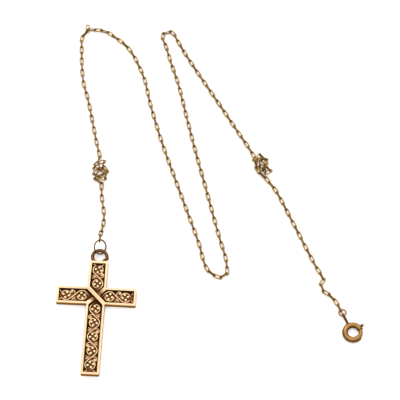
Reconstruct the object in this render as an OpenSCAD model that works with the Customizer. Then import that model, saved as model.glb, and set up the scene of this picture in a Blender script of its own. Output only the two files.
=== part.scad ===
// Cross necklace: a cast cross with raised scrollwork, on a fine cable chain that ends in a spring ring.
// It lies open on a flat surface. Z = 0 is that surface, and X = Y = 0 is under the middle of the layout.
// Plan places are measured from a point near the middle of the layout, and layout_x and layout_y
// then bring the middle over the origin.

/* [Layout] */
// Shift of the whole layout along X
layout_x = -2.61; // [-6:0.01:6]
// Shift of the whole layout along Y
layout_y = -2.61; // [-6:0.01:6]

/* [Cross] */
// Middle of the cross's crossing, along X
cross_x = -29.1; // [-32:0.05:-26]
// Middle of the cross's crossing, along Y
cross_y = -30.9; // [-34:0.05:-28]
// Clockwise turn of the cross on the surface, in degrees
cross_turn = 3; // [0:0.1:6]
// Width of the upright arms
arm_w = 5.2; // [4.6:0.05:5.6]
// Width of the crossbar
bar_w = 5.1; // [4.6:0.05:5.6]
// Length of the top arm from the crossing
top_arm = 10.7; // [10:0.05:11.5]
// Length of each side arm from the crossing
side_arm = 11.2; // [10.5:0.05:12]
// Length of the lower arm from the crossing
lower_arm = 23.6; // [22:0.05:24]
// Thickness of the cross
cross_t = 1.7; // [1.5:0.05:2.2]
// Width of the raised rim
rim_w = 0.64; // [0.5:0.02:0.9]
// Width of the two bands that cross in the middle
band_w = 1.12; // [0.8:0.02:1.3]
// Radius of the cross's outer corners
corner_r = 0.3; // [0.1:0.05:0.6]
// Height of the recess floor above the surface
floor_t = 0.5; // [0.3:0.05:0.8]
// Height of the lower band beside the band that crosses over it
dip_h = 1.15; // [0.9:0.05:1.5]

/* [Scroll panels] */
// Side gap between a panel and its recess
panel_gap = 0.06; // [0.03:0.01:0.1]
// Gap between a panel and the recess floor
panel_lift = 0.05; // [0.03:0.01:0.1]
// Thickness of a panel's back plate
plate_t = 0.35; // [0.25:0.05:0.45]
// Radius of the vine where it runs round one side of a scroll
vine_r = 1.52; // [1.3:0.02:1.6]
// Width of the vine
vine_w = 0.44; // [0.3:0.02:0.5]
// Radius of the curl on the scroll's other side
curl_r = 1.34; // [1.1:0.02:1.5]
// Width of the curl
curl_w = 0.38; // [0.26:0.02:0.44]
// Height of the vine above the plate
relief = 0.38; // [0.25:0.01:0.45]
// Diameter of a bead inside a scroll
bead_d = 0.76; // [0.6:0.02:0.8]
// Distance of a bead's middle from the scroll's middle
bead_out = 0.66; // [0.56:0.02:0.72]
// Height of a bead's middle above the plate
bead_up = 0.15; // [0.05:0.01:0.25]

/* [Thick ring on the cross] */
// Wire of the thick ring that is soldered to the top arm
thick_wire = 0.97; // [0.8:0.01:1.1]
// Radius of the thick ring's centre line
thick_r = 1.96; // [1.8:0.02:2.1]
// Radius of its outer end, past the cut, where the wire stands out
thick_end_r = 2.2; // [2.1:0.02:2.4]
// Height of its centre line above the surface
thick_z = 1.12; // [1.05:0.01:1.3]
// Place of its middle across the top arm
thick_x = -0.08; // [-0.4:0.02:0.4]
// Distance of its middle past the top arm's end
thick_y = 1.55; // [1.4:0.01:2]

/* [Small rings] */
// Wire of the ring at the chain's start
start_wire = 0.44; // [0.4:0.02:0.48]
// Radius of that ring's centre line
start_r = 2.0; // [1.9:0.02:2.1]
// Wire of the ring at the clasp
end_wire = 0.38; // [0.3:0.02:0.42]
// Radius of that ring's centre line
end_r = 1.0; // [0.95:0.01:1.05]

/* [Chain] */
// Length of a link
link_l = 2.91; // [2.8:0.01:3]
// Width of a link
link_w = 1.29; // [1.2:0.01:1.35]
// Wire of a link
wire = 0.36; // [0.28:0.01:0.38]

/* [Clasp] */
// Middle of the clasp, along X
clasp_x = 42.52; // [41:0.02:44]
// Middle of the clasp, along Y
clasp_y = -41.76; // [-43:0.02:-40]
// Radius of the clasp's centre line
clasp_r = 2.2; // [2.1:0.02:2.4]
// Outer diameter of the clasp's tube
tube_od = 1.6; // [1.5:0.02:1.8]
// Bore of the tube
tube_id = 1.18; // [1.1:0.02:1.3]
// Diameter of the sprung bolt in the tube
bolt_d = 0.98; // [0.8:0.02:1]
// How far the bolt slides round, in degrees
bolt_travel = 60; // [30:1:60]
// Width of the slot that the thumb knob slides in
slot_w = 0.7; // [0.6:0.02:0.8]
// Diameter of the pin through the slot
pin_d = 0.5; // [0.4:0.02:0.5]
// Diameter of the knob's head
knob_d = 0.86; // [0.7:0.02:1]
// Wire of the eye that the clasp hangs from
eye_wire = 0.45; // [0.4:0.02:0.5]

/* [Hidden] */
round_fn = 32;
wire_fn = 24;
cut_over = 0.5;

// Half widths of the recess in the upright arms and in the crossbar
arm_in = arm_w / 2 - rim_w;
bar_in = bar_w / 2 - rim_w;
band_in = band_w / 2;
// Width and depth of the fine groove beside the upper band
groove_w = 0.12;
groove_d = 0.3;
panel_z = floor_t + panel_lift;

// One arm of the cross seen from above, from X = -w / 2 to w / 2 and down to Y = -tail
module arm_outline(w, len, tail) {
    translate([-w / 2 + corner_r, -tail]) square([w - 2 * corner_r, len + tail]);
    translate([-w / 2, -tail + corner_r]) square([w, len + tail - 2 * corner_r]);
    for (x = [-1, 1], y = [corner_r - tail, len - corner_r])
        translate([x * (w / 2 - corner_r), y]) circle(r = corner_r, $fn = round_fn);
}

// The recess in an arm of half width inner, with the crossing bands' V at its root
module recess_outline(inner, end, gap) {
    root = (band_in + gap) * sqrt(2);
    side = inner - gap;
    polygon([[0, root], [side, root + side], [side, end - gap], [-side, end - gap], [-side, root + side]]);
}

// Half of the lower band's dip, which falls from the rim to the upper band
module band_dip() {
    far = (arm_w + bar_w) / 2 / sqrt(2) - rim_w;
    rotate([90, 0, 0]) linear_extrude(height = 2 * band_in + 0.06, center = true)
        polygon([[band_in, cross_t + cut_over], [band_in, dip_h - groove_d],
            [band_in + groove_w, dip_h - groove_d], [band_in + groove_w, dip_h],
            [far, cross_t], [far + 0.1, cross_t + cut_over]]);
}

// The soldered ring: most of it is one arc, and the end past the cut stands a little outside the other
module thick_ring() {
    cut_low = -22;
    cut_high = -14;
    translate([thick_x, top_arm + thick_y, thick_z]) {
        rotate_extrude(angle = 270 + cut_low, start = 90, $fn = 96)
            translate([thick_r, 0]) circle(d = thick_wire, $fn = round_fn);
        translate([0, thick_r - thick_end_r, 0])
            rotate_extrude(angle = 90 - cut_high, start = cut_high, $fn = 96)
                translate([thick_end_r, 0]) circle(d = thick_wire, $fn = round_fn);
    }
}

module laid_out() {
    translate([layout_x, layout_y, 0]) children();
}

module at_cross() {
    laid_out() translate([cross_x, cross_y, 0]) rotate([0, 0, -cross_turn]) children();
}

module cross_frame() {
    color([0.87, 0.68, 0.46]) at_cross() difference() {
        union() {
            linear_extrude(height = cross_t) {
                arm_outline(arm_w, top_arm, lower_arm);
                rotate(90) arm_outline(bar_w, side_arm, side_arm);
            }
            thick_ring();
        }
        // The recess also trims the ring's wire where it is let into the top arm
        translate([0, 0, floor_t]) linear_extrude(height = cross_t) {
            recess_outline(arm_in, top_arm - rim_w, 0);
            rotate(180) recess_outline(arm_in, lower_arm - rim_w, 0);
            for (turn = [90, -90])
                rotate(turn) recess_outline(bar_in, side_arm - rim_w, 0);
        }
        for (turn = [45, 225])
            rotate([0, 0, turn]) band_dip();
    }
}

// A rib of the relief that follows an arc
module rib_arc(r, w, from, sweep) {
    rotate_extrude(angle = sweep, start = from, $fn = 96) translate([r - w / 2, 0]) square([w, relief]);
}

// One scroll: the vine runs round the side dir, a curl closes the other side, and four beads fill it
module scroll(dir, pitch) {
    // The vine crosses between two scrolls along the line that touches both of their circles
    touch = asin(2 * vine_r / pitch);
    rise = sqrt(pitch * pitch / 4 - vine_r * vine_r);
    mirror([dir < 0 ? 1 : 0, 0, 0]) {
        rib_arc(vine_r, vine_w, touch - 90, 180 - 2 * touch);
        for (side = [-1, 1])
            mirror([0, side < 0 ? 1 : 0, 0])
                rotate([0, 0, 90 - touch]) translate([vine_r - vine_w / 2, 0, 0]) cube([vine_w, rise, relief]);
        rib_arc(curl_r, curl_w, 96, 172);
        for (turn = [0:90:270])
            rotate([0, 0, turn]) translate([bead_out, 0, bead_up]) sphere(d = bead_d, $fn = wire_fn);
    }
}

// A panel with its scrolls in a row, the first of them at first_y, and a plate cut to the recess
module scroll_panel(inner, end, count, first_y, pitch, first_dir) {
    color([0.8, 0.52, 0.36]) translate([0, 0, panel_z]) {
        linear_extrude(height = plate_t) recess_outline(inner, end, panel_gap);
        intersection() {
            translate([0, 0, plate_t - 0.05]) for (i = [0:count - 1])
                translate([0, first_y + i * pitch, 0]) scroll(i % 2 == 0 ? first_dir : -first_dir, pitch);
            linear_extrude(height = 2) recess_outline(inner, end, panel_gap);
        }
    }
}

// Scroll places along the arms: distance of the first from the crossing, and the pitch
top_first = 3.8;
top_pitch = 4.28;
left_first = 4.05;
right_first = 3.7;
side_pitch = 4.45;
lower_first = 3.85;
lower_pitch = 4.2;

module scroll_panel_top() {
    at_cross() scroll_panel(arm_in, top_arm - rim_w, 2, top_first, top_pitch, 1);
}

module scroll_panel_left() {
    at_cross() rotate([0, 0, 90]) scroll_panel(bar_in, side_arm - rim_w, 2, left_first, side_pitch, 1);
}

module scroll_panel_right() {
    at_cross() rotate([0, 0, -90]) scroll_panel(bar_in, side_arm - rim_w, 2, right_first, side_pitch, -1);
}

module scroll_panel_lower() {
    at_cross() rotate([0, 0, 180]) scroll_panel(arm_in, lower_arm - rim_w, 5, lower_first, lower_pitch, 1);
}

// A ring of round wire lying flat about the origin
module wire_ring(r, w) {
    rotate_extrude($fn = 96) translate([r, 0]) circle(d = w, $fn = wire_fn);
}

// A closed oval of round wire: two half rings, their middles 2 * half apart, joined by straight legs
module wire_oval(half, r, w) {
    for (turn = [0, 180])
        rotate([0, 0, turn]) {
            translate([half, 0, 0]) rotate_extrude(angle = 180, start = -90, $fn = 48)
                translate([r, 0]) circle(d = w, $fn = wire_fn);
            translate([-half, r, 0]) rotate([0, 90, 0]) cylinder(d = w, h = 2 * half, $fn = wire_fn);
        }
}

// The thin ring leans in the thick one, with its far side and its left side raised
start_ring_at = [-28.4, -15.86, 1.72];
start_far_up = 29.5;
start_left_up = 38.3;

module chain_end_ring() {
    color([0.82, 0.62, 0.42]) laid_out() translate(start_ring_at)
        rotate([start_far_up, 0, 0]) rotate([0, start_left_up, 0]) wire_ring(start_r, start_wire);
}

// Chain. Each link hooks the next at a pivot, and the pivots are worked out link by link.
// Links with an even number stand upright and hold the next link at the middle of their end wire.
// Links with an odd number lie flat, with a pivot where an upright link's end wire passes through.
bow_r = (link_w - wire) / 2;
flat_reach = link_l - link_w;
// Each link stops a little short of full stretch
slack = 0.0726;
flat_step = flat_reach - slack;
upright_step = link_l - wire - slack;
// Height of the middle of a link that stands on the surface
lie_z = link_w / 2 + 0.01;
// A loose link stands off the chain, and the next link leaves it this far from its held end
held_step = 0.46;
// The first link leans over on the thin ring
first_lean = 16;
chain_start = [-28.45, -14.7, 2.85];

// Turns: a row for each link, with columns heading in degrees, height of its far pivot, and 1 if it is loose
hook_turns = [[88, 2.2, 0], [82, 1.55, 0], [80, 0.9, 0], [84, 0.7, 0]];
tangle_1_turns = [
    [138.2, lie_z, 0], [27.2, lie_z, 0], [42.9, lie_z, 0], [119.3, lie_z, 0], [219.3, 1.626, 0],
    [230.6, 1.675, 0], [314.1, 2.472, 0], [343.3, 2.542, 0], [77.3, 2.472, 0], [159.1, 2.477, 0],
    [73.9, 3.315, 0], [188.9, 3.276, 0], [275.3, 3.355, 0], [164.6, 3.281, 0], [85.4, 1.87, 0],
    [61.3, 1.026, 0], [77.3, lie_z, 0]];
loose_link_turn = [[88, lie_z, 1]];
tangle_2_turns = [
    [337.1, lie_z, 0], [320.1, lie_z, 0], [240.6, lie_z, 0], [157.6, lie_z, 0], [115.1, 1.733, 0],
    [8.7, 1.805, 0], [274, 1.611, 0], [21.2, 1.736, 0], [308.3, 1.733, 0], [207.5, 1.739, 0],
    [96.8, 2.862, 0], [70.8, 2.984, 0], [144.7, 3.444, 0], [242.6, 3.339, 0], [263.2, 2.049, 0],
    [302.7, 1.601, 0], [324.3, lie_z, 0]];

// Routes: a row for each place that a run passes, with columns X and Y
first_run = [[-27.6, -4.6], [-28.2, -0.6], [-28.5, 2.2], [-28.5, 5.7]];
left_run = [[-30.3, 18.5], [-31.7, 25.5], [-33.3, 33.4], [-34.8, 39.2], [-35.5, 46.2], [-35.7, 52.2],
    [-35.7, 54.6], [-34.5, 56.8], [-33.4, 57.7]];
second_run = [[-31.4, 57.5], [-28.5, 57], [-25.7, 54.9], [-22.6, 52.3], [-20.4, 49.2], [-18.5, 45.2],
    [-16.5, 39.9], [-14.7, 31.5], [-11.8, 20.8], [-9.3, 12.8], [-7, 5.9], [-4.5, -1.6], [-2.1, -8.7], [-0.1, -15]];
lower_bend = [[1.1, -20.1], [2.7, -23.3], [5.1, -24.7], [7.3, -25.2], [7.7, -23.2], [7.3, -18.8]];
third_run = [[5.8, -13.3], [3.8, -5.3], [1.4, 4.7], [-1.1, 14.8], [-3.8, 26.5], [-6.4, 38.2], [-8.7, 45.9]];
upper_bend = [[-10.3, 51.8], [-11.5, 55.6], [-9.8, 56.4], [-8.3, 56.8], [-7, 54.1], [-4.2, 48.7]];
fourth_run = [[0, 41.3], [5.6, 31.8], [11.2, 22.1], [14.7, 16.1], [16.3, 12.8]];
last_run = [[22.1, 2.4], [26.3, -6.8], [30.4, -16.1], [33.3, -22.4], [35, -25.2], [34.1, -26.7], [34, -28.6],
    [36.2, -30.1], [38.2, -32.5], [39.4, -35.1], [39.6, -35.6]];

// Point at part t of the smooth curve between b and c, with a before b and d after c
function curve_point(a, b, c, d, t) =
    (2 * b + (c - a) * t + (2 * a - 5 * b + 4 * c - d) * t * t + (3 * b - a - 3 * c + d) * t * t * t) / 2;

// A smooth curve through the rows, with curve_steps points from each row to the next
curve_steps = 6;
function smooth_curve(rows) =
    let (last = len(rows) - 1,
        p = concat([2 * rows[0] - rows[1]], rows, [2 * rows[last] - rows[last - 1]]))
    concat([for (i = [1:last], k = [0:curve_steps - 1])
        curve_point(p[i - 1], p[i], p[i + 1], p[i + 2], k / curve_steps)], [rows[last]]);

// The place between a and b that is at distance reach from p
function place_at(a, b, p, reach) =
    let (d = b - a, e = a - p, qa = d * d, qb = 2 * d * e, qc = e * e - reach * reach)
    a + d * (sqrt(qb * qb - 4 * qa * qc) - qb) / (2 * qa);

// The next pivot along curve c from p, as [pivot, stretch of the curve], or nothing past the curve's end
function next_pivot(c, i, from, p, reach) =
    i >= len(c) - 1 ? undef :
    norm(c[i + 1] - p) < reach ? next_pivot(c, i + 1, c[i + 1], p, reach) :
    [place_at(from, c[i + 1], p, reach), i];

function link_step(k) = k % 2 == 0 ? upright_step : flat_step;

// Adds the pivots along curve c to those already done
function along(done, c, i) =
    let (k = len(done) - 1, next = next_pivot(c, i, done[k], done[k], link_step(k)))
    is_undef(next) ? done : along(concat(done, [next[0]]), c, next[1]);

function follow(done, rows) =
    let (curve = smooth_curve(concat([done[len(done) - 1]], [for (row = rows) [row[0], row[1], lie_z]])))
    along(done, curve, 0);

// Adds a pivot for each row of a table of turns
function turned(done, rows, row) =
    row == len(rows) ? done :
    let (k = len(done) - 1, reach = rows[row][2] == 1 ? held_step : link_step(k),
        up = rows[row][1] - done[k][2], out = sqrt(reach * reach - up * up), heading = rows[row][0])
    turned(concat(done, [done[k] + [out * cos(heading), out * sin(heading), up]]), rows, row + 1);

to_tangle_1 = follow(turned([chain_start], hook_turns, 0), first_run);
to_left_bend = follow(turned(to_tangle_1, tangle_1_turns, 0), left_run);
to_tangle_2 = follow(turned(to_left_bend, loose_link_turn, 0),
    concat(second_run, lower_bend, third_run, upper_bend, fourth_run));
pivots = follow(turned(to_tangle_2, tangle_2_turns, 0), last_run);
link_count = len(pivots) - 1;

// Direction of each link, from its pivot to the next
dirs = [for (k = [0:link_count - 1]) (pivots[k + 1] - pivots[k]) / norm(pivots[k + 1] - pivots[k])];

// An upright link's bows are centred on the flat links that they hold, so it leans to match their slopes
function before_slope(k) = dirs[max(k - 1, 0)][2];
function after_slope(k) = dirs[min(k + 1, link_count - 1)][2];

module place_link(k) {
    dir = dirs[k];
    heading = atan2(dir[1], dir[0]);
    if (k % 2 == 1) {
        translate(pivots[k] + dir * flat_step / 2) rotate([0, -asin(dir[2]), heading]) children();
    } else {
        low = pivots[k][2] + bow_r * before_slope(k);
        high = pivots[k + 1][2] - bow_r * after_slope(k);
        middle = pivots[k] + dir * upright_step / 2;
        translate([middle[0], middle[1], (low + high) / 2])
            rotate([k == 0 ? 90 + first_lean : 90, -asin((high - low) / flat_reach), heading]) children();
    }
}

module chain() {
    laid_out() for (k = [0:link_count - 1])
        color(k % 2 == 1 ? [0.74, 0.58, 0.33] : [0.5, 0.37, 0.19])
            place_link(k) wire_oval(flat_reach / 2, bow_r, wire);
}

// Clasp. Angles are degrees round its middle, counterclockwise from X.
// The tube is open from open_from to open_to, where the bolt shows and closes the ring.
open_to = 21;
open_from = -40;
bolt_from = -47;
bolt_to = 68;
knob_turn = 39;
knob_out = 3.45;
slot_from = 31;
slot_to = knob_turn + bolt_travel + 8;
// Direction of the eye, and where the middles of its two bows are from the clasp's middle
eye_turn = 115.5;
eye_root = 3.5;
eye_tip = 5.625;
eye_r = 0.55;
// The small ring through the eye: its direction and distance from the clasp's middle, height and slope
ring_turn = 114;
ring_out = 6.58;
ring_z = 0.7;
ring_slope = 5;

module clasp_ring() {
    color([0.76, 0.55, 0.33]) laid_out() translate([clasp_x, clasp_y, ring_z])
        rotate([0, 0, ring_turn]) translate([ring_out, 0, 0]) rotate([0, ring_slope, 0]) wire_ring(end_r, end_wire);
}

module at_clasp() {
    laid_out() translate([clasp_x, clasp_y, tube_od / 2]) children();
}

module clasp_body() {
    color([0.78, 0.52, 0.26]) at_clasp() difference() {
        union() {
            rotate_extrude(angle = 360 + open_from - open_to, start = open_to, $fn = 96)
                translate([clasp_r, 0]) circle(d = tube_od, $fn = round_fn);
            rotate([0, 0, eye_turn]) rotate([90, 0, 0]) translate([(eye_root + eye_tip) / 2, 0, 0])
                wire_oval((eye_tip - eye_root) / 2, eye_r, eye_wire);
        }
        wire_ring(clasp_r, tube_id);
        rotate_extrude(angle = slot_to - slot_from, start = slot_from, $fn = 96)
            translate([clasp_r, -slot_w / 2]) square([tube_od, slot_w]);
    }
}

module clasp_bolt() {
    color([0.66, 0.46, 0.26]) at_clasp() {
        rotate_extrude(angle = bolt_to - bolt_from, start = bolt_from, $fn = 96)
            translate([clasp_r, 0]) circle(d = bolt_d, $fn = wire_fn);
        rotate([0, 0, knob_turn]) translate([clasp_r, 0, 0]) {
            rotate([0, 90, 0]) cylinder(d = pin_d, h = knob_out - clasp_r, $fn = wire_fn);
            translate([knob_out - clasp_r, 0, 0]) sphere(d = knob_d, $fn = wire_fn);
        }
    }
}

cross_frame();
scroll_panel_top();
scroll_panel_left();
scroll_panel_right();
scroll_panel_lower();
chain_end_ring();
chain();
clasp_ring();
clasp_body();
clasp_bolt();
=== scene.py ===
"""The looks of a cross necklace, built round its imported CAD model.

Shape functions work in millimetres, and a mesh is scaled to metres when it is made. The necklace lies
on the plane Z = 0, with +Y away from the viewer.
"""

import math

import bmesh
import bpy
import numpy as np
from bpy.props import FloatProperty, FloatVectorProperty, PointerProperty
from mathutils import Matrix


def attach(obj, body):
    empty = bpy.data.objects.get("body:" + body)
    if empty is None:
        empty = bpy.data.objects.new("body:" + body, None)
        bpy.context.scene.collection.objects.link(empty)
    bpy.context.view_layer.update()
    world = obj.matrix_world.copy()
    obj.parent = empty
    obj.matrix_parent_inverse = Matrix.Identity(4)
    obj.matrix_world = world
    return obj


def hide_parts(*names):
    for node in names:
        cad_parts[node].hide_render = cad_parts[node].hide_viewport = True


bl_info = {
    "name": "Cross Necklace",
    "version": (1, 0, 0),
    "blender": (4, 5, 0),
    "location": "View3D > Sidebar > Necklace",
    "description": "Builds the finished pieces of a cross necklace and a studio round them",
    "category": "Object",
}

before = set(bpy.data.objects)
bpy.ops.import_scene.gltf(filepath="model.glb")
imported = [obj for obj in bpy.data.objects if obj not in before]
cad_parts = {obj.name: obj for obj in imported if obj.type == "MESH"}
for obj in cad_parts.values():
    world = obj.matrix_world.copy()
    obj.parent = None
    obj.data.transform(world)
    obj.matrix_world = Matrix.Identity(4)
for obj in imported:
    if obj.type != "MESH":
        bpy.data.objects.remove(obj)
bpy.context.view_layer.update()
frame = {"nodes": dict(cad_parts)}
MM = 0.001
UP = (0, 0, 1)

# The cross in the CAD model: the point where its arms cross, its turn, and the length of its top arm,
# past which its ring lies
CROSS_AT = np.array([-31.71, -33.51])
CROSS_TURN = math.radians(-3)
TOP_ARM = 10.7
# Its heights above the surface: the lower band where it dips under the upper one, and the recess floors
DIP_HEIGHT = 1.15
FLOOR_HEIGHT = 0.5

# The scrollwork: the heights of its plate and wires, and where the panels begin next to the crossing
PLATE_LOW = 0.55
PLATE_TOP = 0.9
WIRE_MIDDLE = 1.14
PANEL_ROOT = 0.88
# Each panel: its turn from the cross's +Y in degrees, half width, far end, number of scrolls,
# place of the first scroll, pitch, and the side on which the vine goes round the first scroll
PANELS = {
    "top": (0, 1.9, 10.0, 2, 3.8, 4.28, 1),
    "left": (90, 1.85, 10.5, 2, 4.05, 4.45, 1),
    "right": (-90, 1.85, 10.5, 2, 3.7, 4.45, -1),
    "lower": (180, 1.9, 22.9, 5, 3.85, 4.2, 1),
}
# Each leaf in a gap between scrolls: how far across and along it starts, how far along it ends,
# its bow and its width
GAP_LEAVES = (
    (0.15, -0.2, -0.72, 0.12, 0.34),
    (0.3, 0.05, -0.05, 0.08, 0.3),
    (0.5, 0.35, 0.62, -0.1, 0.3),
)
# The bead clusters' turn in degrees
BEAD_LEAN = 14
# The volutes: the radius to which they close in, the degrees that they turn, and how slowly they close
VOLUTE_EYE = 0.3
VOLUTE_TURN = 430
VOLUTE_FALL = 83
# How bright each form is worn: from 0.5 to 0.9 the gold goes from the scrolls' colour to the beads'
PLATE_TONE = -1.0
LEAF_TONE = 0.4
LINE_TONE = 0.62
BEAD_TONE = 1.0

# The small rings: radius of the centre line, and wire
END_RING = (2.0, 0.44)
CLASP_RING = (1.0, 0.46)

# The clasp in the CAD model: its middle, the radius of its centre line, and the bolt's radius
CLASP_AT = np.array([39.91, -44.37, 0.8])
CLASP_RADIUS = 2.2
BOLT_RADIUS = 0.56
# Places round the clasp in degrees: the bolt's ends, its knob, and the two ends of the tube's mouth
BOLT_FROM = -47
BOLT_TO = 68
KNOB_TURN = 39
MOUTH_ENDS = (-40, 21)
# The knob's outline: distance from the clasp's middle, and radius there
KNOB_OUTLINE = np.array([
    [2.3, 0.25], [3.06, 0.25], [3.06, 0.3], [3.13, 0.38], [3.22, 0.42], [3.34, 0.43],
    [3.56, 0.43], [3.7, 0.4], [3.8, 0.31], [3.86, 0.18], [3.88, 0.05],
])

# The chain's links in the CAD model, each a mesh of the same number of points
LINK_COUNT = 207

# In a copy of a CAD mesh, faces that meet at more than SHARP make an edge, and those that meet at less than
# FLAT are made one, as are points that are closer than MERGE, in metres
SHARP = math.radians(38)
FLAT = math.radians(0.5)
MERGE = 1e-7

# The gold's tint where a surface turns away, and the share of the rim's colour left on the side walls as
# painted shade
EDGE_TINT = (0.85, 0.6, 0.38)
SIDE_SHADE = (0.2, 0.118, 0.058)

# The studio, in metres: what the camera looks at, and the key light's place and size
CAMERA_TARGET = np.array([-2.61, -2.61, 0]) * MM
KEY_AT = (-0.2, 0.95, 0.95)
KEY_SIZE = 1.1
FLOOR_HALF = 2


class ScrollSizes(bpy.types.PropertyGroup):
    """Sizes of the raised scrollwork, in millimetres"""

    vine_radius: FloatProperty(name="Vine radius", description="Radius of the vine round a scroll",
                               default=1.52, min=1.3, max=1.6)
    vine_wire: FloatProperty(name="Vine wire", description="Width of the vine",
                             default=0.4, min=0.3, max=0.5)
    curl_radius: FloatProperty(name="Curl radius", description="Radius of the curl that closes a scroll",
                               default=1.34, min=1.1, max=1.5)
    curl_wire: FloatProperty(name="Curl wire", description="Width of the curls",
                             default=0.35, min=0.2, max=0.5)
    bead: FloatProperty(name="Bead", description="Diameter of a bead in a scroll",
                        default=0.86, min=0.5, max=1)
    bead_out: FloatProperty(name="Bead distance", description="Distance of a bead from its scroll's middle",
                            default=0.78, min=0.5, max=0.9)


class WireSizes(bpy.types.PropertyGroup):
    """Sizes of the chain's links and of the cross's worn edges, in millimetres"""

    link_length: FloatProperty(name="Link length", description="Length of a link",
                               default=2.96, min=2.8, max=3)
    link_width: FloatProperty(name="Link width", description="Width of a link",
                              default=1.34, min=1.2, max=1.4)
    link_wire: FloatProperty(name="Link wire", description="Thickness of a link's wire",
                             default=0.41, min=0.28, max=0.42)
    edge: FloatProperty(name="Worn edge", description="Width of the rounding on the cross's edges",
                        default=0.12, min=0.02, max=0.2)


class Colours(bpy.types.PropertyGroup):
    """Colours of the metals"""

    frame: FloatVectorProperty(name="Frame", description="Polished gold of the cross's rim",
                               subtype="COLOR", size=3, default=(0.7, 0.477, 0.285), min=0, max=1)
    scroll: FloatVectorProperty(name="Scrolls", description="Rosier gold of the scrollwork",
                                subtype="COLOR", size=3, default=(0.78, 0.49, 0.285), min=0, max=1)
    bead: FloatVectorProperty(name="Beads", description="Bright worn gold of the beads", subtype="COLOR",
                              size=3, default=(1.0, 0.81, 0.5), min=0, max=1)
    # Dark brown tarnishing in the recesses and under the scrollwork, together with painted shade
    tarnish_and_shade: FloatVectorProperty(name="Tarnish", description="Dark brown in the recesses", subtype="COLOR",
                                 size=3, default=(0.14, 0.05, 0.01), min=0, max=1)
    ring: FloatVectorProperty(name="Soldered ring", description="Old gold of the cross's thick ring",
                              subtype="COLOR", size=3, default=(0.133, 0.067, 0.028), min=0, max=1)
    thin_ring: FloatVectorProperty(name="Thin ring", subtype="COLOR", size=3,
                                   description="Paler gold of the ring at the chain's start",
                                   default=(0.22, 0.125, 0.055), min=0, max=1)
    chain: FloatVectorProperty(name="Chain", description="Gold of the chain's lighter links",
                               subtype="COLOR", size=3, default=(0.5, 0.33, 0.125), min=0, max=1)
    # The darker links' gold paints shade on every second link, and dirt with shade at the links' ends
    chain_dark: FloatVectorProperty(name="Chain dark", description="Gold of the chain's darker links",
                                    subtype="COLOR", size=3, default=(0.16, 0.086, 0.022), min=0, max=1)
    clasp: FloatVectorProperty(name="Clasp", description="Deeper gold of the clasp", subtype="COLOR",
                               size=3, default=(0.4, 0.215, 0.065), min=0, max=1)
    knob: FloatVectorProperty(name="Knob", description="Worn grey of the bolt's knob", subtype="COLOR",
                              size=3, default=(0.2, 0.145, 0.1), min=0, max=1)


class Studio(bpy.types.PropertyGroup):
    """Camera and light"""

    elevation: FloatProperty(name="Elevation", description="Camera's angle above the surface",
                             subtype="ANGLE", default=math.radians(63), min=0.2, max=1.57)
    distance: FloatProperty(name="Distance", description="Camera's distance from what it looks at",
                            subtype="DISTANCE", default=0.5202, min=0.2, max=2)
    lens: FloatProperty(name="Lens", description="Focal length in millimetres on a 36 mm sensor",
                        default=162, min=50, max=300)
    key: FloatProperty(name="Key light", description="Power of the softbox behind the necklace",
                       subtype="POWER", default=4, min=0, max=100)
    tent: FloatProperty(name="Tent", description="Brightness of the white tent over the necklace",
                        default=1.35, min=0, max=10)
    room: FloatVectorProperty(name="Room", description="The dark room that shows round the tent's foot",
                              subtype="COLOR", size=3, default=(0.07, 0.05, 0.035), min=0, max=1)


# Shapes: grids of points, in millimetres


def swept(path, up, wide, tall=None, sides=8, closed=False):
    """Carries an oval section along a flat path. A point of ring u at angle a is
    path[u] + tall * cos(a) * up + wide * sin(a) * side, where side is tangent x up."""
    path = np.asarray(path, float)
    if closed:
        tangent = np.roll(path, -1, 0) - np.roll(path, 1, 0)
    else:
        tangent = np.gradient(path, axis=0)
    tangent /= np.linalg.norm(tangent, axis=1, keepdims=True)
    side = np.cross(tangent, up)
    wide = np.broadcast_to(wide, len(path))[:, None, None]
    tall = wide if tall is None else np.broadcast_to(tall, len(path))[:, None, None]
    angle = np.linspace(0, 2 * np.pi, sides, endpoint=False)[None, :, None]
    lift = tall * np.cos(angle) * np.asarray(up, float)
    return path[:, None] + lift + wide * np.sin(angle) * side[:, None]


def dome(at, radius, height, rings=6, sides=12):
    """A flattened ball: at latitude b and longitude a, (radius * cos(b) * cos(a), radius * cos(b) * sin(a),
    height * sin(b)), with the poles drawn in to a small disc."""
    latitude = np.linspace(-1.5, 1.5, rings)[:, None]
    angle = np.linspace(0, 2 * np.pi, sides, endpoint=False)[None, :]
    ball = np.stack(np.broadcast_arrays(radius * np.cos(latitude) * np.cos(angle),
                                        radius * np.cos(latitude) * np.sin(angle),
                                        height * np.sin(latitude)), -1)
    return ball + np.asarray(at, float)


def arc(radius, start, end, count):
    """Points on a circle about the origin, from start to end in degrees. The radius may change along it."""
    angle = np.radians(np.linspace(start, end, count))
    return np.stack([radius * np.cos(angle), radius * np.sin(angle)], -1)


def raised(points, height):
    """Flat points with one height added to them."""
    return np.column_stack([points, np.full(len(points), height)])


def turned(points, angle):
    """Points turned about Z by an angle in radians."""
    c, s = math.cos(angle), math.sin(angle)
    spun = np.array(points, float)
    spun[..., 0] = points[..., 0] * c - points[..., 1] * s
    spun[..., 1] = points[..., 0] * s + points[..., 1] * c
    return spun


def oval_link(length, width, wire, steps=6, sides=6):
    """A link about the origin: two half circles joined by straight legs, long along X and flat on XY."""
    bow = (width - wire) / 2
    half = (length - width) / 2
    right = arc(bow, -90, 90, steps + 1) + [half, 0]
    path = raised(np.concatenate([right, -right]), 0)
    return swept(path, UP, wire / 2, sides=sides, closed=True)


def round_ring(radius, wire, steps=48, sides=10):
    """A ring of round wire about the origin, flat on XY."""
    path = raised(arc(radius, 0, 360 - 360 / steps, steps), 0)
    return swept(path, UP, wire / 2, sides=sides, closed=True)


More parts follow.
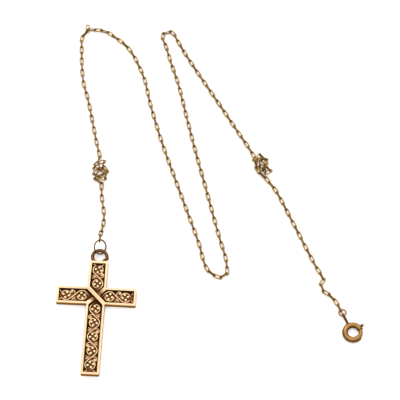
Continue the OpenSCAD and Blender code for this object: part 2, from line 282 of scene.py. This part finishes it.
def grid_faces(rows, columns, closed, first):
    """Faces of a grid whose columns go round, and whose points are numbered from first: quads between its
    rows, and a face at each end of an open one."""
    row = np.arange(rows if closed else rows - 1)[:, None] * columns
    column = np.arange(columns)[None, :]
    next_row = (row + columns) % (rows * columns)
    next_column = (column + 1) % columns
    quads = np.stack([row + column, row + next_column, next_row + next_column, next_row + column], -1)
    faces = (quads.reshape(-1, 4) + first).tolist()
    if not closed:
        foot = np.arange(columns) + first
        head = foot + (rows - 1) * columns
        faces += [foot[::-1].tolist(), head.tolist()]
    return faces


class Shape:
    """Gathers grids, and makes one mesh object of them."""

    def __init__(self):
        self.points, self.faces, self.tones, self.count = [], [], [], 0

    def add(self, grid, closed=False, tone=0.0):
        """Adds a grid. Its tone is one number, or one for each of its points."""
        rows, columns = grid.shape[:2]
        self.faces += grid_faces(rows, columns, closed, self.count)
        self.points.append(grid.reshape(-1, 3))
        self.tones.append(np.broadcast_to(tone, rows * columns))
        self.count += rows * columns

    def place(self, turn, at):
        """Turns everything gathered so far about Z, and moves it."""
        self.points = [turned(np.concatenate(self.points), turn) + at]
        self.tones = [np.concatenate(self.tones)]

    def make(self, name):
        """The object, in metres, with the tone of each point as an attribute."""
        mesh = bpy.data.meshes.new(name)
        mesh.from_pydata((np.concatenate(self.points) * MM).tolist(), [], self.faces)
        mesh.shade_smooth()
        mark(mesh, "tone", np.concatenate(self.tones))
        return linked(name, mesh)


def linked(name, mesh):
    """A new object for a mesh, in the scene."""
    piece = bpy.data.objects.new(name, mesh)
    bpy.context.scene.collection.objects.link(piece)
    return piece


def mark(mesh, name, values):
    """Stores a number for each point of a mesh."""
    layer = mesh.attributes.new(name, "FLOAT", "POINT")
    layer.data.foreach_set("value", np.asarray(values, np.float32))


def points_of(mesh):
    """The points of a mesh, in millimetres."""
    flat = np.empty(len(mesh.vertices) * 3)
    mesh.vertices.foreach_get("co", flat)
    return flat.reshape(-1, 3) / MM


def axes_of(clouds):
    """Middles and axes of k clouds of points, an array (k, n, 3). The axes' columns are the long, the wide
    and the thin way, the eigenvectors of each cloud's covariance."""
    middles = clouds.mean(1)
    spread = clouds - middles[:, None]
    vectors = np.linalg.eigh(np.einsum("kni,knj->kij", spread, spread))[1][:, :, ::-1].copy()
    vectors[:, :, 2] = np.cross(vectors[:, :, 0], vectors[:, :, 1])
    return middles, vectors


def merged_copy(node, name, edge_rule, width):
    """A copy of a CAD node with its loose triangles merged and its flat faces made whole. The edges that
    edge_rule picks, from their two ends, are rounded to the given width in millimetres."""
    mesh = frame["nodes"][node].data.copy()
    mesh.name = name
    mesh.materials.clear()
    work = bmesh.new()
    work.from_mesh(mesh)
    bmesh.ops.remove_doubles(work, verts=work.verts, dist=MERGE)
    bmesh.ops.dissolve_limit(work, angle_limit=FLAT, verts=work.verts, edges=work.edges)
    weight = work.edges.layers.float.new("bevel_weight_edge")
    for edge in work.edges:
        sharp = edge.is_manifold and edge.calc_face_angle() > SHARP
        if sharp and edge_rule(*[np.array(v.co) / MM for v in edge.verts]):
            edge[weight] = 1.0
    work.to_mesh(mesh)
    work.free()
    mesh.shade_smooth()
    piece = linked(name, mesh)
    bevel = piece.modifiers.new("Worn edges", "BEVEL")
    bevel.width = width * MM
    bevel.segments = 3
    bevel.limit_method = "WEIGHT"
    bevel.harden_normals = True
    bevel.use_clamp_overlap = False
    mesh.set_sharp_from_angle(angle=SHARP)
    return piece


# Scrollwork: shapes in a panel's own plane, with +Y along the arm from the crossing


def vine_path(sizes, count, first, pitch, side):
    """The vine's line: round each scroll on alternate sides, and straight across between two scrolls along
    the line that touches both circles, which leans by asin(2 * radius / pitch) from the arm."""
    touch = math.degrees(math.asin(2 * sizes.vine_radius / pitch))
    rise = math.sqrt(pitch * pitch / 4 - sizes.vine_radius ** 2)
    bend = arc(sizes.vine_radius, touch - 90, 90 - touch, 13)
    across = np.array([-math.cos(math.radians(touch)), math.sin(math.radians(touch))]) * rise
    runs = []
    for i in range(count):
        flip = np.array([side * (-1) ** i, 1])
        at = np.array([0, first + i * pitch])
        # The point half way across to the next scroll, and less far past the last one
        tail = across * (0.5 if i < count - 1 else 0.3)
        runs += [bend * flip + at, ((bend[-1] + tail) * flip + at)[None]]
    start = (bend[0] + across * [1, -1] * 0.85) * [side, 1] + [0, first]
    return np.concatenate([start[None], *runs])


def volute_path(at, out, way):
    """A spiral into at from the point out, anticlockwise where way is 1. Turned by p degrees, its radius is
    eye + (r - eye) * exp(-p / fall), where r is its first radius."""
    start = np.asarray(out, float) - at
    first = np.linalg.norm(start)
    turn = np.linspace(0, VOLUTE_TURN, 40)
    radius = VOLUTE_EYE + (first - VOLUTE_EYE) * np.exp(-turn / VOLUTE_FALL)
    angle = math.atan2(start[1], start[0]) + way * np.radians(turn)
    return np.stack([radius * np.cos(angle), radius * np.sin(angle)], -1) + at


def leaf(shape, start, end, bow, width):
    """A small leaf: a path from start to end, bowed by sin(pi * t) and as wide as sin(pi * t) ** 0.7."""
    start, end = np.asarray(start, float), np.asarray(end, float)
    t = np.linspace(0.03, 0.97, 8)[:, None]
    across = np.array([start[1] - end[1], end[0] - start[0]])
    path = start + (end - start) * t + across * bow * np.sin(np.pi * t)
    half = width * np.sin(np.pi * t[:, 0]) ** 0.7 / 2
    shape.add(swept(raised(path, WIRE_MIDDLE - 0.02), UP, half, half + 0.04, sides=6), tone=LEAF_TONE)


def tapered(count, share=0.12):
    """A size for each point of a path: 1 along it, and near an end the root of the distance from the end,
    as a part of the share of the path that tapers."""
    t = np.linspace(0, 1, count)
    return np.clip(np.minimum(t, 1 - t) / share, 0.05, 1) ** 0.5


def scroll(shape, sizes, at, side):
    """A curl on the side that the vine leaves open, and four beads in a cross that leans to that side."""
    count = 22
    radius = sizes.curl_radius - np.linspace(0, 0.1, count)
    curl = arc(radius, 92, 278, count) * [side, 1] + [0, at]
    thick = sizes.curl_wire / 2 * tapered(count)
    shape.add(swept(raised(curl, WIRE_MIDDLE), UP, thick, thick + 0.03), tone=LINE_TONE)
    for spot in arc(sizes.bead_out, BEAD_LEAN * side, 270 + BEAD_LEAN * side, 4):
        bead = dome([spot[0], spot[1] + at, WIRE_MIDDLE + 0.08], sizes.bead / 2, sizes.bead * 0.36)
        shape.add(bead, tone=BEAD_TONE)


def volute(shape, half, gap, way):
    """A spiral that leaves the vine in the middle of a gap and ends in a bead beside one wall."""
    middle = np.array([way * (half - 0.72), gap + 0.62])
    line = volute_path(middle, [0, gap], way)
    thick = 0.16 * tapered(len(line), 0.1)
    shape.add(swept(raised(line, WIRE_MIDDLE - 0.02), UP, thick, thick + 0.08, sides=6), tone=LINE_TONE)
    shape.add(dome([*middle, WIRE_MIDDLE + 0.06], radius=0.36, height=0.34), tone=BEAD_TONE)


def gap_leaves(shape, half, gap, way):
    """The leaves that spread from the vine in a gap to the wall on one side."""
    for across, start, end, bow, width in GAP_LEAVES:
        wall = way * (half - 0.12)
        leaf(shape, [way * across, gap + start], [wall, gap + end], way * bow, width)


def panel_plate(half, end):
    """The dark plate of a panel. It widens at 45 degrees from the crossing until it is half wide on each
    side, and then runs straight on to its end."""
    stations = np.concatenate([[PANEL_ROOT + 0.02], np.linspace(PANEL_ROOT + 0.1, end, 24)])[:, None]
    across = np.array([1, 1, -1, -1]) * np.minimum(stations - PANEL_ROOT, half)
    heights = [PLATE_TOP, PLATE_LOW, PLATE_LOW, PLATE_TOP]
    return np.stack(np.broadcast_arrays(across, stations, heights), -1)


def scroll_panel(name, sizes):
    """The scrollwork of one arm: its dark plate, the vine, and what fills each scroll and each gap."""
    turn, half, end, count, first, pitch, side = PANELS[name]
    shape = Shape()
    shape.add(panel_plate(half, end), tone=PLATE_TONE)
    vine = vine_path(sizes, count, first, pitch, side)
    thick = sizes.vine_wire / 2 * tapered(len(vine), 0.04)
    shape.add(swept(raised(vine, WIRE_MIDDLE), UP, thick, thick + 0.04), tone=LINE_TONE)
    for i in range(count):
        here, way = first + i * pitch, side * (-1) ** i
        scroll(shape, sizes, here, way)
        if i > 0:
            volute(shape, half, here - pitch / 2, -way)
        if i < count - 1:
            gap_leaves(shape, half, here + pitch / 2, -way)
    for way in (-1, 1):
        leaf(shape, [way * 0.7, end - 0.8], [way * (half - 0.15), end - 0.15], 0.1 * way, 0.36)
    shape.place(math.radians(turn), 0)
    shape.place(CROSS_TURN, [*CROSS_AT, 0])
    return shape.make("scrollwork_" + name)


# Finishes


class Value:
    """A shader value. Operators on it add Math nodes to its tree."""

    def __init__(self, tree, socket):
        self.tree, self.socket = tree, socket

    def math(self, operation, *terms):
        """A Math node on values and numbers."""
        node = self.tree.nodes.new("ShaderNodeMath")
        node.operation = operation
        for socket, term in zip(node.inputs, terms):
            if isinstance(term, Value):
                self.tree.links.new(term.socket, socket)
            else:
                socket.default_value = term
        return Value(self.tree, node.outputs[0])

    def __add__(self, other):
        return self.math("ADD", self, other)

    __radd__ = __add__

    def __sub__(self, other):
        return self.math("SUBTRACT", self, other)

    def __rsub__(self, other):
        return self.math("SUBTRACT", other, self)

    def __mul__(self, other):
        return self.math("MULTIPLY", self, other)

    __rmul__ = __mul__

    def clamped(self):
        """The value cut to the range from 0 to 1."""
        return self.math("MINIMUM", self.math("MAXIMUM", self, 0.0), 1.0)


class Tree:
    """A node tree, and what adds nodes to it."""

    def __init__(self, tree):
        self.tree = tree

    def node(self, kind, settings=None, inputs=None):
        """Adds a node: its settings are set first, and then the values or links of its sockets."""
        node = self.tree.nodes.new(kind)
        for key, value in (settings or {}).items():
            setattr(node, key, value)
        for key, value in (inputs or {}).items():
            self.put(node.inputs[key], value)
        return node

    def put(self, socket, value):
        """Links a value or a socket to an input, or sets a plain number or colour on it."""
        if isinstance(value, Value):
            self.tree.links.new(value.socket, socket)
        elif isinstance(value, bpy.types.NodeSocket):
            self.tree.links.new(value, socket)
        else:
            socket.default_value = value

    def value(self, socket):
        """A socket's value, to be used in expressions."""
        return Value(self.tree, socket)

    def band(self, value, low, high):
        """0 below low, 1 above high, and straight between."""
        return ((value - low) * (1 / (high - low))).clamped()

    def mixed(self, share, first, second):
        """The first colour, with a share of the second. A Mix node takes colours at its inputs 6 and 7, and
        gives one at its output 2."""
        node = self.node("ShaderNodeMix", {"data_type": "RGBA"}, {0: share})
        for socket, colour in ((node.inputs[6], first), (node.inputs[7], second)):
            self.put(socket, colour if isinstance(colour, bpy.types.NodeSocket) else (*colour, 1.0))
        return node.outputs[2]


class Finish(Tree):
    """A material, with a Principled shader to feed."""

    def __init__(self, name):
        self.material = bpy.data.materials.new(name)
        self.material.use_nodes = True
        super().__init__(self.material.node_tree)
        self.shader = self.tree.nodes["Principled BSDF"]
        self.shader.inputs["Metallic"].default_value = 1.0
        self.shader.inputs["Specular Tint"].default_value = (*EDGE_TINT, 1.0)

    def place(self):
        """Object coordinates, in metres."""
        return self.node("ShaderNodeTexCoord").outputs["Object"]

    def noise(self, scale, detail=3.0, stretch=(1, 1, 1), turn=0.0):
        """Noise from 0 to 1, with scale in features per metre."""
        mapping = self.node("ShaderNodeMapping", {}, {
            "Vector": self.place(), "Scale": stretch, "Rotation": (0, 0, turn)})
        texture = self.node("ShaderNodeTexNoise", {}, {
            "Vector": mapping.outputs[0], "Scale": scale, "Detail": detail})
        return self.value(texture.outputs["Fac"])

    def attribute(self, name):
        """A number that the mesh stores for each of its points."""
        return self.value(self.node("ShaderNodeAttribute", {"attribute_name": name}).outputs["Fac"])

    def height(self):
        """Height above the surface, in millimetres."""
        parts = self.node("ShaderNodeSeparateXYZ", {}, {0: self.place()})
        return self.value(parts.outputs[2]) * (1 / MM)

    def bump(self, height, strength, distance):
        """Dents the surface by a height, of which 1 stands for a distance in millimetres."""
        node = self.node("ShaderNodeBump", {}, {
            "Height": height, "Strength": strength, "Distance": distance * MM})
        self.put(self.shader.inputs["Normal"], node.outputs[0])

    def coloured(self, tone):
        """The material, with its colour set."""
        self.put(self.shader.inputs["Base Color"], tone)
        return self.material

    def tarnished_and_shaded(self, deep, tone, tarnish_and_shade):
        """The material with its colour going to the dark tarnishing and painted shade where deep is 1, and
        half as metallic there.
        """
        self.put(self.shader.inputs["Metallic"], 1 - deep * 0.5)
        return self.coloured(self.mixed(deep, tone, tarnish_and_shade))


def shade(colour, share):
    """A darker colour, with each channel cut to a share of it."""
    return [channel * share for channel in colour]


def polish(finish, colour, deep, rough, wear=0.25):
    """Worn polish: the colour drifts towards deep in soft patches, with fine scratches and dents."""
    patches = finish.band(finish.noise(scale=420, detail=4), low=0.38, high=0.68)
    scratches = finish.noise(scale=2600, detail=2, stretch=(1, 14, 1), turn=0.5)
    finish.put(finish.shader.inputs["Roughness"], rough + patches * 0.1 + scratches * 0.08)
    dents = finish.noise(scale=1500, detail=3) + scratches * 0.5
    finish.bump(dents, strength=0.25, distance=0.012)
    return finish.mixed(patches * wear, colour, deep)


def frame_gold(colours):
    """Polished gold on the rim, darker and warmer down the sides as painted shade, old gold on the soldered
    ring, and brown tarnishing with painted shade in the recesses."""
    finish = Finish("Frame gold")
    tone = polish(finish, colours.frame, shade(colours.frame, 0.8), rough=0.2)
    # Painted shade down the side walls, below the rim's top face
    sides = 1 - finish.band(finish.height(), low=1.35, high=1.64)
    side_shade = [channel * share for channel, share in zip(colours.frame, SIDE_SHADE)]
    tone = finish.mixed(sides * 0.9, tone, side_shade)
    tone = finish.mixed(finish.attribute("ring"), tone, colours.ring)
    # Dark tarnishing and painted shade in the recesses, with a mottled edge
    grime_and_shade = finish.noise(scale=2200)
    deep = finish.band(finish.attribute("recess") * (0.9 + grime_and_shade * 0.2), low=0.12, high=0.6)
    return finish.tarnished_and_shaded(deep, tone, colours.tarnish_and_shade)


def scroll_gold(colours):
    """Rose gold on the raised lines, bright gold on the beads, and dark tarnishing with painted shade on
    the plate behind and on the lower sides of the lines.
    """
    finish = Finish("Scroll gold")
    tone = polish(finish, colours.scroll, shade(colours.scroll, 0.7), rough=0.24)
    bright = finish.band(finish.attribute("tone"), low=0.5, high=0.9)
    tone = finish.mixed(bright, tone, colours.bead)
    # Dark tarnishing and painted shade on the plate and on the lower sides of the raised lines
    grime_and_shade = finish.noise(scale=2400) * 0.12
    deep = 1 - finish.band(finish.height() + grime_and_shade, low=0.98, high=1.18)
    return finish.tarnished_and_shaded(deep, tone, colours.tarnish_and_shade)


def chain_gold(colours):
    """Old gold, with painted shade on every second link, and darker with dirt and painted shade towards a
    link's ends, as the attribute tone says.
    """
    finish = Finish("Chain gold")
    tone = polish(finish, colours.chain, shade(colours.chain, 0.6), rough=0.24, wear=0.5)
    return finish.coloured(finish.mixed(finish.attribute("tone").clamped(), tone, colours.chain_dark))


def plain_gold(name, colour, deep, rough, shaded_below):
    """One worn gold for a ring or the clasp's tube. It is darkened with painted shade below the given
    height, in millimetres, and where a point attribute marks the clasp's darker eye and the painted shade
    at its mouth."""
    finish = Finish(name)
    grime_and_shade = shade(colour, 0.2)
    tone = polish(finish, colour, deep, rough, wear=0.5)
    # Painted shade below the given height
    foot = 1 - finish.band(finish.height(), low=shaded_below - 0.5, high=shaded_below + 0.1)
    tone = finish.mixed(foot, tone, grime_and_shade)
    return finish.coloured(finish.mixed(finish.attribute("dark_eye_and_mouth_shade") * 0.8, tone, grime_and_shade))


def bolt_metal(colours):
    """Gold on the bolt, and worn grey on its knob, which the attribute tone marks."""
    finish = Finish("Bolt metal")
    tone = polish(finish, colours.clasp, shade(colours.clasp, 0.6), rough=0.3, wear=0.5)
    return finish.coloured(finish.mixed(finish.attribute("tone"), tone, colours.knob))


def dress(piece, material, body, slot, *nodes):
    """Gives a piece its finish, and sets it on its CAD body in place of the nodes it stands for."""
    piece.data.materials.clear()
    piece.data.materials.append(material)
    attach(piece, body)
    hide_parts(*nodes)


# Operators


class NECKLACE_OT_cross_frame(bpy.types.Operator):
    """Builds the cast frame of the cross, with its soldered ring"""

    bl_idname = "necklace.cross_frame"
    bl_label = "Cross Frame"

    def execute(self, context):
        scene = context.scene
        piece = merged_copy("cross_frame", "cross_body", self.worn, scene.necklace_wires.edge)
        points = points_of(piece.data)
        height = points[:, 2]
        mark(piece.data, "ring", self.on_ring(points))
        mark(piece.data, "recess", (height > FLOOR_HEIGHT - 0.1) & (height < DIP_HEIGHT - 0.1))
        dress(piece, frame_gold(scene.necklace_colours), "necklace", "frame_gold", "cross_frame")
        return {"FINISHED"}

    @staticmethod
    def on_ring(points):
        """Whether points are past the cross's top end, measured along its upright."""
        return turned(points - [*CROSS_AT, 0], -CROSS_TURN)[:, 1] > TOP_ARM + 0.02

    @classmethod
    def worn(cls, a, b):
        """Whether the edge from a to b is of the rim, the bands or the foot, and long enough to round."""
        low = min(a[2], b[2])
        outer = low > DIP_HEIGHT - 0.02 or low < 0.01
        return outer and np.linalg.norm(a - b) > 0.2 and not cls.on_ring(np.array([a, b])).any()


class NECKLACE_OT_scrollwork(bpy.types.Operator):
    """Builds the raised scrollwork in the cross's four arms"""

    bl_idname = "necklace.scrollwork"
    bl_label = "Scrollwork"

    def execute(self, context):
        material = scroll_gold(context.scene.necklace_colours)
        for name in PANELS:
            piece = scroll_panel(name, context.scene.necklace_scrolls)
            dress(piece, material, "necklace", "scroll_gold", "scroll_panel_" + name)
        return {"FINISHED"}


class NECKLACE_OT_rings(bpy.types.Operator):
    """Builds the two small rings at the chain's ends, each where its CAD ring lies"""

    bl_idname = "necklace.rings"
    bl_label = "Small Rings"

    def execute(self, context):
        colours = context.scene.necklace_colours
        rings = (("chain_end_ring", "cross_jump_ring", END_RING, "Thin ring gold", colours.thin_ring),
                 ("clasp_ring", "clasp_jump_ring", CLASP_RING, "Small ring gold", colours.clasp))
        for node, name, size, finish, colour in rings:
            middles, axes = axes_of(points_of(frame["nodes"][node].data)[None])
            shape = Shape()
            shape.add(round_ring(*size) @ axes[0].T + middles[0], closed=True)
            # Painted shade darkens each ring below 0.6 millimetres
            material = plain_gold(finish, colour, shade(colour, 0.55), rough=0.26, shaded_below=0.6)
            dress(shape.make(name), material, "necklace", "ring_gold", node)
        return {"FINISHED"}


class NECKLACE_OT_chain(bpy.types.Operator):
    """Builds the chain, each link where its CAD link lies"""

    bl_idname = "necklace.chain"
    bl_label = "Chain"

    def execute(self, context):
        sizes = context.scene.necklace_wires
        middles, axes = axes_of(points_of(frame["nodes"]["chain"].data).reshape(LINK_COUNT, -1, 3))
        link = oval_link(sizes.link_length, sizes.link_width, sizes.link_wire)
        placed = np.einsum("kij,uvj->kuvi", axes, link) + middles[:, None, None]
        grime_and_shade = self.grime_and_shade(link, sizes.link_length)
        shape = Shape()
        for grid, tone in zip(placed, self.tones()):
            shape.add(grid, closed=True, tone=(tone + grime_and_shade).ravel())
        material = chain_gold(context.scene.necklace_colours)
        dress(shape.make("chain_links"), material, "necklace", "chain_gold", "chain")
        return {"FINISHED"}

    @staticmethod
    def tones():
        """How dark each link is: every second one by 0.8, which paints shade on alternate links, and all by
        the product of two sines of its number, which has no rhythm that shows."""
        number = np.arange(LINK_COUNT)
        return np.where(number % 2 == 0, 0.8, 0.0) + 0.25 * np.sin(number * 2.4) * np.sin(number * 0.7)

    @staticmethod
    def grime_and_shade(link, length):
        """How dark a link's points are towards its ends, where the links meet, with dirt and painted shade,
        beyond 0.6 of its half length.
        """
        along = np.abs(link[..., 0]) / length * 2
        return np.clip((along - 0.6) * 3, 0, 1) * 0.7


class NECKLACE_OT_clasp(bpy.types.Operator):
    """Builds the spring ring clasp: its tube with the eye, and the bolt with its knob"""

    bl_idname = "necklace.clasp"
    bl_label = "Clasp"

    def execute(self, context):
        colours = context.scene.necklace_colours
        tube = merged_copy("clasp_body", "clasp_tube", self.worn, 0.03)
        # A darker eye, and painted shade at the ends of the tube's mouth
        mark(tube.data, "dark_eye_and_mouth_shade", self.grime_and_shade(points_of(tube.data)))
        # Painted shade darkens the tube below 1.48 millimetres, all but its top
        gold = plain_gold("Clasp gold", colours.clasp, shade(colours.clasp, 0.45), rough=0.18, shaded_below=1.48)
        dress(tube, gold, "necklace", "clasp_gold", "clasp_body")
        dress(self.bolt(), bolt_metal(colours), "bolt", "bolt_gold", "clasp_bolt")
        return {"FINISHED"}

    @staticmethod
    def worn(a, b):
        """Whether the edge from a to b is one of the tube, not of the eye, and long enough to round."""
        out = np.linalg.norm(((a + b) / 2 - CLASP_AT)[:2])
        return out < CLASP_RADIUS + 0.79 and np.linalg.norm(a - b) > 0.03

    @staticmethod
    def grime_and_shade(points):
        """How dark the points are: out past the eye's root, and, as painted shade in the tube's mouth,
        within 5 degrees of the mouth's ends.
        """
        flat = (points - CLASP_AT)[:, :2]
        near_eye = (np.linalg.norm(flat, axis=1) - CLASP_RADIUS - 0.7) * 4
        turn = np.degrees(np.arctan2(flat[:, 1], flat[:, 0]))
        from_mouth = np.min([np.abs(turn - end) for end in MOUTH_ENDS], axis=0)
        return np.clip(np.maximum(near_eye, 1.3 - from_mouth / 4), 0, 1)

    @staticmethod
    def bolt():
        """The bolt, a bent rod with rounded ends, and its knob, turned to its outline."""
        steps = 48
        from_end = np.minimum(np.arange(steps), np.arange(steps)[::-1])
        thick = BOLT_RADIUS * np.clip(from_end / 2, 0.15, 1) ** 0.35
        rod = raised(arc(CLASP_RADIUS, BOLT_FROM, BOLT_TO, steps), 0)
        axis = np.pad(KNOB_OUTLINE[:, :1], ((0, 0), (0, 2)))
        knob = turned(swept(axis, UP, KNOB_OUTLINE[:, 1], sides=20), math.radians(KNOB_TURN))
        shape = Shape()
        shape.add(swept(rod, UP, thick, sides=20), tone=0.0)
        shape.add(knob, tone=1.0)
        shape.place(0, CLASP_AT)
        return shape.make("bolt_and_knob")


class NECKLACE_OT_studio(bpy.types.Operator):
    """Sets up the pale floor, the soft lights and the camera"""

    bl_idname = "necklace.studio"
    bl_label = "Studio"

    def execute(self, context):
        settings = context.scene.necklace_studio
        self.camera(context, settings)
        self.floor()
        self.softbox("Key softbox", KEY_AT, KEY_SIZE, settings.key)
        self.tent(context, settings)
        context.scene.view_settings.view_transform = "Standard"
        return {"FINISHED"}

    def camera(self, context, settings):
        """A camera in front of the necklace, which looks along +Y and down at CAMERA_TARGET."""
        lens = bpy.data.cameras.new("Camera")
        lens.lens = settings.lens
        lens.clip_start = 0.01
        camera = bpy.data.objects.new("Camera", lens)
        context.scene.collection.objects.link(camera)
        back = np.array([0, -math.cos(settings.elevation), math.sin(settings.elevation)])
        camera.location = CAMERA_TARGET + back * settings.distance
        camera.rotation_euler = (math.pi / 2 - settings.elevation, 0, 0)
        context.scene.camera = camera

    def floor(self):
        """A plain white surface with a faint glow of its own, so that shadows on it stay light."""
        finish = Finish("Pale floor")
        look = {"Metallic": 0.0, "Roughness": 0.7, "Specular IOR Level": 0.2,
                "Base Color": (0.93, 0.925, 0.92, 1), "Emission Color": (1, 0.985, 0.97, 1),
                "Emission Strength": 0.3}
        for name, value in look.items():
            finish.put(finish.shader.inputs[name], value)
        corners = [(x * FLOOR_HALF, y * FLOOR_HALF, 0) for x, y in ((-1, -1), (1, -1), (1, 1), (-1, 1))]
        mesh = bpy.data.meshes.new("Floor")
        mesh.from_pydata(corners, [], [(0, 1, 2, 3)])
        mesh.materials.append(finish.material)
        linked("Floor", mesh)

    def tent(self, context, settings):
        """A white tent over the necklace, brighter at the back, with the dark room round its foot."""
        world = bpy.data.worlds.new("Tent")
        context.scene.world = world
        world.use_nodes = True
        tree = Tree(world.node_tree)
        direction = tree.node("ShaderNodeTexCoord").outputs["Generated"]
        way = tree.node("ShaderNodeSeparateXYZ", {}, {0: direction})
        back, up = tree.value(way.outputs[1]), tree.value(way.outputs[2])
        light = tree.mixed(tree.band(up, low=0.2, high=0.62), settings.room, (1, 0.99, 0.975))
        air = world.node_tree.nodes["Background"]
        tree.put(air.inputs["Color"], light)
        tree.put(air.inputs["Strength"], (back * 0.25 + 1) * settings.tent)

    def softbox(self, name, at, size, power):
        """A square light that faces the origin, under the middle of the necklace."""
        light = bpy.data.lights.new(name, "AREA")
        light.size = size
        light.energy = power
        lamp = bpy.data.objects.new(name, light)
        bpy.context.scene.collection.objects.link(lamp)
        lamp.location = at
        x, y, z = at
        lamp.rotation_euler = (math.atan2(math.hypot(x, y), z), 0, math.atan2(x, -y))


class NECKLACE_PT_sidebar(bpy.types.Panel):
    """Lists the sizes, the colours and the pieces of the necklace"""

    bl_label = "Cross Necklace"
    bl_space_type = "VIEW_3D"
    bl_region_type = "UI"
    bl_category = "Necklace"

    def draw(self, context):
        scene = context.scene
        for group_name in GROUPS:
            box = self.layout.box()
            group = getattr(scene, group_name)
            for name in group.bl_rna.properties.keys():
                if name not in ("rna_type", "name"):
                    box.prop(group, name)
        for operator in PIECES:
            self.layout.operator(operator.bl_idname)


GROUPS = {
    "necklace_scrolls": ScrollSizes,
    "necklace_wires": WireSizes,
    "necklace_colours": Colours,
    "necklace_studio": Studio,
}
PIECES = (
    NECKLACE_OT_studio, NECKLACE_OT_cross_frame, NECKLACE_OT_scrollwork, NECKLACE_OT_rings,
    NECKLACE_OT_chain, NECKLACE_OT_clasp,
)
CLASSES = (*GROUPS.values(), *PIECES, NECKLACE_PT_sidebar)


def register():
    for cls in CLASSES:
        bpy.utils.register_class(cls)
    for name, group in GROUPS.items():
        setattr(bpy.types.Scene, name, PointerProperty(type=group))


def unregister():
    for name in GROUPS:
        delattr(bpy.types.Scene, name)
    for cls in reversed(CLASSES):
        bpy.utils.unregister_class(cls)


def main():
    register()
    bpy.ops.necklace.studio()
    bpy.ops.necklace.cross_frame()
    bpy.ops.necklace.scrollwork()
    bpy.ops.necklace.rings()
    bpy.ops.necklace.chain()
    bpy.ops.necklace.clasp()


if __name__ == "__main__":
    main()
